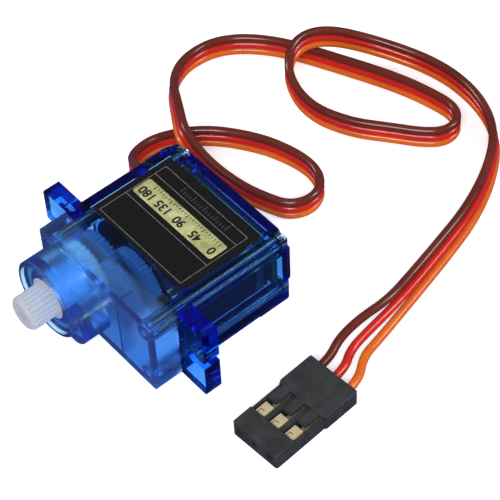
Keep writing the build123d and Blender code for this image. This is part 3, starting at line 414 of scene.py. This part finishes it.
# the middle of the ribbon's floor side: x, y, its rise above the floor, and its lean in degrees
ROUTE = (
    (-9.2, 10.8, 4.15, 0), (-12.4, 10.8, 4.1, 0), (-16.0, 10.9, 2.9, 0), (-19.4, 12.6, 1.0, 0),
    (-20.6, 17.6, 0.1, 0), (-17.2, 23.9, 0, 0), (-10.9, 28.4, 0, 0), (-5.6, 30.2, 0, 0),
    (-1.9, 30.5, 0, 0), (1.1, 29.4, 0, 0), (2.5, 26.5, 0, 0), (1.3, 23.4, 0, 0),
    (-1.8, 22.0, 0, 0), (-5.6, 20.7, 0.2, 0), (-10.5, 19.3, 1.9, 0), (-15.6, 18.9, 4.0, -20),
    (-20.5, 21.8, 3.8, -15), (-26.6, 25.6, 1.6, -5), (-29.9, 31.1, 0.2, 0), (-29.2, 37.2, 0, 0),
    (-23.8, 42.6, 0, 0), (-15.0, 46.7, 0, 0), (-6.4, 50.4, 0, 0), (-0.6, 51.9, 0, 0),
    (3.0, 52.3, 0, 0), (5.3, 50.9, 0, 0), (5.6, 48.2, 0, 0), (3.7, 45.8, 0, 0),
    (0.0, 43.1, 0, 0), (-4.7, 39.5, 0, 0), (-10.5, 37.0, 0.7, 0), (-15.8, 37.8, 2.6, 0),
    (-18.9, 41.6, 4.0, 0), (-18.0, 46.6, 3.8, 0), (-13.3, 52.0, 1.5, 0), (-5.0, 56.6, 0, 0),
    (3.0, 56.6, 0, 0), (9.7, 53.9, 0, -10), (14.3, 48.4, 0, -20), (17.8, 41.2, 0, -30),
    (19.8, 33.8, 0, -40), (21.3, 27.6, 0, -45),
)
# each wire on its own from the end of the ribbon into the connector
FAN = {
    "brown": (
        (21.75, 22.3, 2.72), (21.45, 17.6, 2.5), (21.75, 13.7, 1.9), (22.97, 10.98, 1.3), (23.17, 7.98, 1.3),
    ),
    "red": (
        (22.5, 22.3, 1.72), (23.15, 17.6, 1.6), (23.7, 14.0, 1.4), (25.49, 11.3, 1.3), (25.71, 8.16, 1.3),
    ),
    "orange": (
        (23.5, 22.4, 0.68), (24.6, 18.0, 0.72), (25.4, 14.6, 0.98), (28.0, 11.5, 1.3), (28.24, 8.33, 1.3),
    ),
}


def wire_points(colour):
    """The route of one wire of the ribbon, beside or above its neighbours as the ribbon leans."""
    row = ROWS[colour]
    points = []
    for index, (x, y, rise, lean) in enumerate(ROUTE):
        before = ROUTE[max(index - 1, 0)]
        after = ROUTE[min(index + 1, len(ROUTE) - 1)]
        run = math.dist(before[:2], after[:2])
        side = ((before[1] - after[1]) / run, (after[0] - before[0]) / run)
        shift = row * WIRE_D * math.sin(math.radians(lean))
        height = rise + WIRE_D / 2 + WIRE_D * (1 + row) * math.cos(math.radians(lean))
        points.append((x + side[0] * shift, y + side[1] * shift, height))
    return points + list(FAN[colour])


def make_wire(colour):
    """One wire as a smooth round cord along its route."""
    data = bpy.data.curves.new(f"ribbon_{colour}", "CURVE")
    data.dimensions = "3D"
    data.bevel_depth = WIRE_D / 2 * MM
    data.bevel_resolution = WIRE_ROUNDNESS
    data.resolution_u = WIRE_STEPS
    data.use_fill_caps = True
    points = wire_points(colour)
    line = data.splines.new("NURBS")
    line.points.add(len(points) - 1)
    for target, point in zip(line.points, points):
        target.co = (*(Vector(point) * MM), 1)
    line.order_u = 3
    line.use_endpoint_u = True
    wire = bpy.data.objects.new(f"ribbon_{colour}", data)
    data.materials.append(WIRES[colour])
    bpy.context.scene.collection.objects.link(wire)
    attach(wire, "case")
    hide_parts(f"wire_{colour}")


for colour in ROWS:
    make_wire(colour)

# ---------------------------------------------------------------- label print
LABEL_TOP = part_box("label")[1][2]
FOIL_X = (-8.45, 7.3)
FOIL_Y = (5.05, 8.05)
FOIL_CORNER_R = 0.35
FOIL_RISE = 0.035
FOIL_THICKNESS = 0.02
FOIL_COLUMNS, FOIL_ROWS = 96, 20
CRUMPLES = 700  # per metre
CRUMPLE_HEIGHT = 0.022
CRUMPLE_ROUGHNESS, CRUMPLE_DETAIL, CRUMPLE_OCTAVES = 0.7, 2.2, 4
# how fast the crumples rise from the strip's edges, and how much faster along it than across
EDGE_RISE = 8
END_RISE = 5


def rounded(spot, radius):
    """A point of the foil's rectangle, drawn in so that the rectangle's corners are rounded."""
    centre = Vector((
        min(max(spot.x, FOIL_X[0] * MM + radius), FOIL_X[1] * MM - radius),
        min(max(spot.y, FOIL_Y[0] * MM + radius), FOIL_Y[1] * MM - radius),
        0,
    ))
    out = spot - centre
    if min(abs(out.x), abs(out.y)) == 0:
        return spot
    return centre + out * (max(abs(out.x), abs(out.y)) / out.length)


def make_foil():
    """Crumpled foil strip on the label, its edges pressed flat."""
    shape = bmesh.new()
    width = (FOIL_X[1] - FOIL_X[0]) * MM
    depth = (FOIL_Y[1] - FOIL_Y[0]) * MM
    grid = []
    for row in range(FOIL_ROWS + 1):
        for column in range(FOIL_COLUMNS + 1):
            across, along = column / FOIL_COLUMNS, row / FOIL_ROWS
            spot = Vector((FOIL_X[0] * MM + across * width, FOIL_Y[0] * MM + along * depth, 0))
            inward = min(across * END_RISE, (1 - across) * END_RISE, along, 1 - along)
            edge = min(1.0, EDGE_RISE * inward)
            crumple = noise.fractal(spot * CRUMPLES, CRUMPLE_ROUGHNESS, CRUMPLE_DETAIL, CRUMPLE_OCTAVES)
            lift = crumple * CRUMPLE_HEIGHT * MM * edge
            spot = rounded(spot, FOIL_CORNER_R * MM)
            spot.z = LABEL_TOP + FOIL_RISE * MM + lift
            grid.append(shape.verts.new(spot))
    for row in range(FOIL_ROWS):
        for column in range(FOIL_COLUMNS):
            near = row * (FOIL_COLUMNS + 1) + column
            far = near + FOIL_COLUMNS + 1
            shape.faces.new((grid[near], grid[near + 1], grid[far + 1], grid[far]))
    data = bpy.data.meshes.new("foil_strip")
    shape.to_mesh(data)
    shape.free()
    for face in data.polygons:
        face.use_smooth = True
    strip = bpy.data.objects.new("foil_strip", data)
    bpy.context.scene.collection.objects.link(strip)
    thick = strip.modifiers.new("thickness", "SOLIDIFY")
    thick.thickness = FOIL_THICKNESS * MM
    thick.offset = -1
    data.materials.append(FOIL)
    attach(strip, "case")


make_foil()


def join(name, parts, material, body):
    """One mesh piece from several meshes."""
    shape = bmesh.new()
    for part in parts:
        shape.from_mesh(part)
        bpy.data.meshes.remove(part)
    data = bpy.data.meshes.new(name)
    shape.to_mesh(data)
    shape.free()
    data.materials.append(material)
    piece = bpy.data.objects.new(name, data)
    bpy.context.scene.collection.objects.link(piece)
    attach(piece, body)


def flat_box(x, y, low, high):
    """Mesh of a box from its spans along x, y and z."""
    shape = bmesh.new()
    made = bmesh.ops.create_cube(shape, size=1)
    size = Vector((x[1] - x[0], y[1] - y[0], high - low))
    middle = Vector(((x[0] + x[1]) / 2, (y[0] + y[1]) / 2, (low + high) / 2))
    for vert in made["verts"]:
        vert.co = Vector(a * b for a, b in zip(vert.co, size)) + middle
    data = bpy.data.meshes.new("bar")
    shape.to_mesh(data)
    shape.free()
    return data


DIGIT_SIZE = 1.8
DIGIT_BOLDNESS = 0.04
DIGIT_HALF_THICKNESS = 0.006
DIGITS_Y = 6.15
INK_RISE = 0.09
# where the dial's first number stands and how far on the next one is, as shares of the foil's length
DIAL_START = 0.06
DIAL_STEP = 0.205
DIAL_NUMBERS = (0, 45, 90, 135, 180)
TICKS_PER_NUMBER = 6
TICK_END_Y = 7.75
TICK_LONG, TICK_SHORT = 0.62, 0.32
TICK_HALF_WIDTH = 0.05
TICK_THICKNESS = 0.02
PANEL_MARKS = 17
PANEL_MARK_X, PANEL_MARK_PITCH = 4.8, 0.55
PANEL_MARK_Y = 9.5
PANEL_MARK_LONG, PANEL_MARK_SHORT = 0.95, 0.5
PANEL_MARKS_PER_LONG = 4
PANEL_MARK_HALF_WIDTH = 0.09
PANEL_MARK_THICKNESS = 0.012


def digits(text, x, z):
    """Mesh of a number on the dial, upright to someone behind the case."""
    curve = bpy.data.curves.new("digits", "FONT")
    curve.body = text
    curve.size = DIGIT_SIZE * MM
    curve.extrude = DIGIT_HALF_THICKNESS * MM
    curve.offset = DIGIT_BOLDNESS * MM
    curve.align_x = "CENTER"
    curve.align_y = "CENTER"
    holder = bpy.data.objects.new("digits", curve)
    bpy.context.scene.collection.objects.link(holder)
    graph = bpy.context.evaluated_depsgraph_get()
    data = bpy.data.meshes.new_from_object(holder.evaluated_get(graph))
    bpy.data.objects.remove(holder)
    spot = Matrix.Translation(Vector((x * MM, DIGITS_Y * MM, z)))
    data.transform(spot @ Matrix.Rotation(math.pi, 4, "Z"))
    return data


def bar(x, half_width, y, length, low, high):
    """Mesh of a thin printed bar from y to y + length."""
    return flat_box((x - half_width * MM, x + half_width * MM), (y * MM, (y + length) * MM), low, high)


def make_print():
    """A dial scale from 0 to 180 printed on the foil, and plain ticks on the narrow panel."""
    top = LABEL_TOP + INK_RISE * MM
    numbers = []
    ticks = []
    span = FOIL_X[1] - FOIL_X[0]
    for step, number in enumerate(DIAL_NUMBERS):
        x = FOIL_X[1] - span * (DIAL_START + DIAL_STEP * step)
        numbers.append(digits(str(number), x, top))
    for step in range(TICKS_PER_NUMBER * (len(DIAL_NUMBERS) - 1) + 1):
        x = (FOIL_X[1] - span * (DIAL_START + DIAL_STEP * step / TICKS_PER_NUMBER)) * MM
        length = TICK_LONG if step % TICKS_PER_NUMBER == 0 else TICK_SHORT
        ticks.append(bar(x, TICK_HALF_WIDTH, TICK_END_Y - length, length, top - TICK_THICKNESS * MM, top))
    join("dial_numbers", numbers, INK, "case")
    join("dial_ticks", ticks, INK, "case")
    marks = []
    high = LABEL_TOP + PANEL_MARK_THICKNESS * MM
    for step in range(PANEL_MARKS):
        x = (PANEL_MARK_X - PANEL_MARK_PITCH * step) * MM
        length = PANEL_MARK_LONG if step % PANEL_MARKS_PER_LONG == 0 else PANEL_MARK_SHORT
        marks.append(bar(x, PANEL_MARK_HALF_WIDTH, PANEL_MARK_Y, length, LABEL_TOP, high))
    join("panel_marks", marks, FAINT_INK, "case")


make_print()

# ---------------------------------------------------------------- floor, light, colour
# the floor and the sky are darker in reflections, so the clear case keeps its dark edges
FLOOR_GLOW = 0.5
FLOOR_MIRRORED = rgb(0.06, 0.08, 0.28)
FLOOR_HALF_SIZE = 1.5
FLOOR_DROP = 0.05
SKY = 0.28
SKY_MIRRORED = 0.1
SKY_COLOUR = rgb(0.95, 0.97, 1.0)
# place, the point it aims at, size and watts of each lamp
LAMPS = {
    "key": ((0.32, -0.34, 0.5), (0, 0.01, 0), (0.3, 0.22), 2.6),
    "back": ((0.36, 0.42, 0.42), (0, 0.02, 0), (0.14, 0.4), 1.5),
    "left": ((-0.5, -0.3, 0.36), (0, 0, 0), (0.1, 0.35), 1.0),
}
GLASS_BOUNCES = 32
CLEAR_BOUNCES = 48
GLOSSY_BOUNCES = 8


def make_floor():
    """White paper floor that glows to the eye and lies dark blue in reflections."""
    look = Look("floor_white")
    path = look.add("ShaderNodeLightPath")
    mirrored = look.math("MINIMUM", path.outputs["Glossy Depth"], 1.0)
    bounced = look.math("MINIMUM", look.math("ADD", mirrored, path.outputs["Diffuse Depth"]), 1.0)
    paper = look.mix(look.noise(40), grey(0.9), grey(0.94))
    look.set(
        Base_Color=look.mix(mirrored, paper, FLOOR_MIRRORED), Roughness=0.75, Specular_IOR_Level=0.0,
        Emission_Color=grey(1), Emission_Strength=look.span(bounced, FLOOR_GLOW, 0),
        Normal=look.bump(look.noise(900), depth=20e-6, strength=0.2),
    )
    shape = bmesh.new()
    bmesh.ops.create_grid(shape, x_segments=4, y_segments=4, size=FLOOR_HALF_SIZE)
    data = bpy.data.meshes.new("floor")
    shape.to_mesh(data)
    shape.free()
    data.materials.append(look.material)
    floor = bpy.data.objects.new("floor", data)
    floor.location.z = -FLOOR_DROP * MM
    bpy.context.scene.collection.objects.link(floor)


def make_light(name, place, aim, size, power):
    """A soft rectangular lamp at place, aimed at a point; metres and watts."""
    data = bpy.data.lights.new(name, "AREA")
    data.shape = "RECTANGLE"
    data.size, data.size_y = size
    data.energy = power
    lamp = bpy.data.objects.new(name, data)
    lamp.location = place
    lamp.rotation_mode = "QUATERNION"
    lamp.rotation_quaternion = (Vector(aim) - Vector(place)).to_track_quat("-Z", "Y")
    bpy.context.scene.collection.objects.link(lamp)


def make_world():
    """A pale sky all round, dimmer in reflections."""
    world = bpy.data.worlds.new("studio")
    bpy.context.scene.world = world
    world.use_nodes = True
    tree = world.node_tree
    back = tree.nodes["Background"]
    back.inputs["Color"].default_value = SKY_COLOUR
    path = tree.nodes.new("ShaderNodeLightPath")
    level = tree.nodes.new("ShaderNodeMapRange")
    level.inputs["To Min"].default_value = SKY
    level.inputs["To Max"].default_value = SKY_MIRRORED
    mirrored = tree.nodes.new("ShaderNodeMath")
    mirrored.operation = "MINIMUM"
    tree.links.new(path.outputs["Glossy Depth"], mirrored.inputs[0])
    mirrored.inputs[1].default_value = 1.0
    tree.links.new(mirrored.outputs[0], level.inputs["Value"])
    tree.links.new(level.outputs[0], back.inputs["Strength"])


make_floor()
make_world()
for name, lamp in LAMPS.items():
    make_light(name, *lamp)

scene = bpy.context.scene
scene.view_settings.view_transform = "Standard"
scene.view_settings.look = "None"
scene.cycles.max_bounces = GLASS_BOUNCES
scene.cycles.transmission_bounces = GLASS_BOUNCES
scene.cycles.transparent_max_bounces = CLEAR_BOUNCES
scene.cycles.glossy_bounces = GLOSSY_BOUNCES
scene.cycles.use_denoising = True
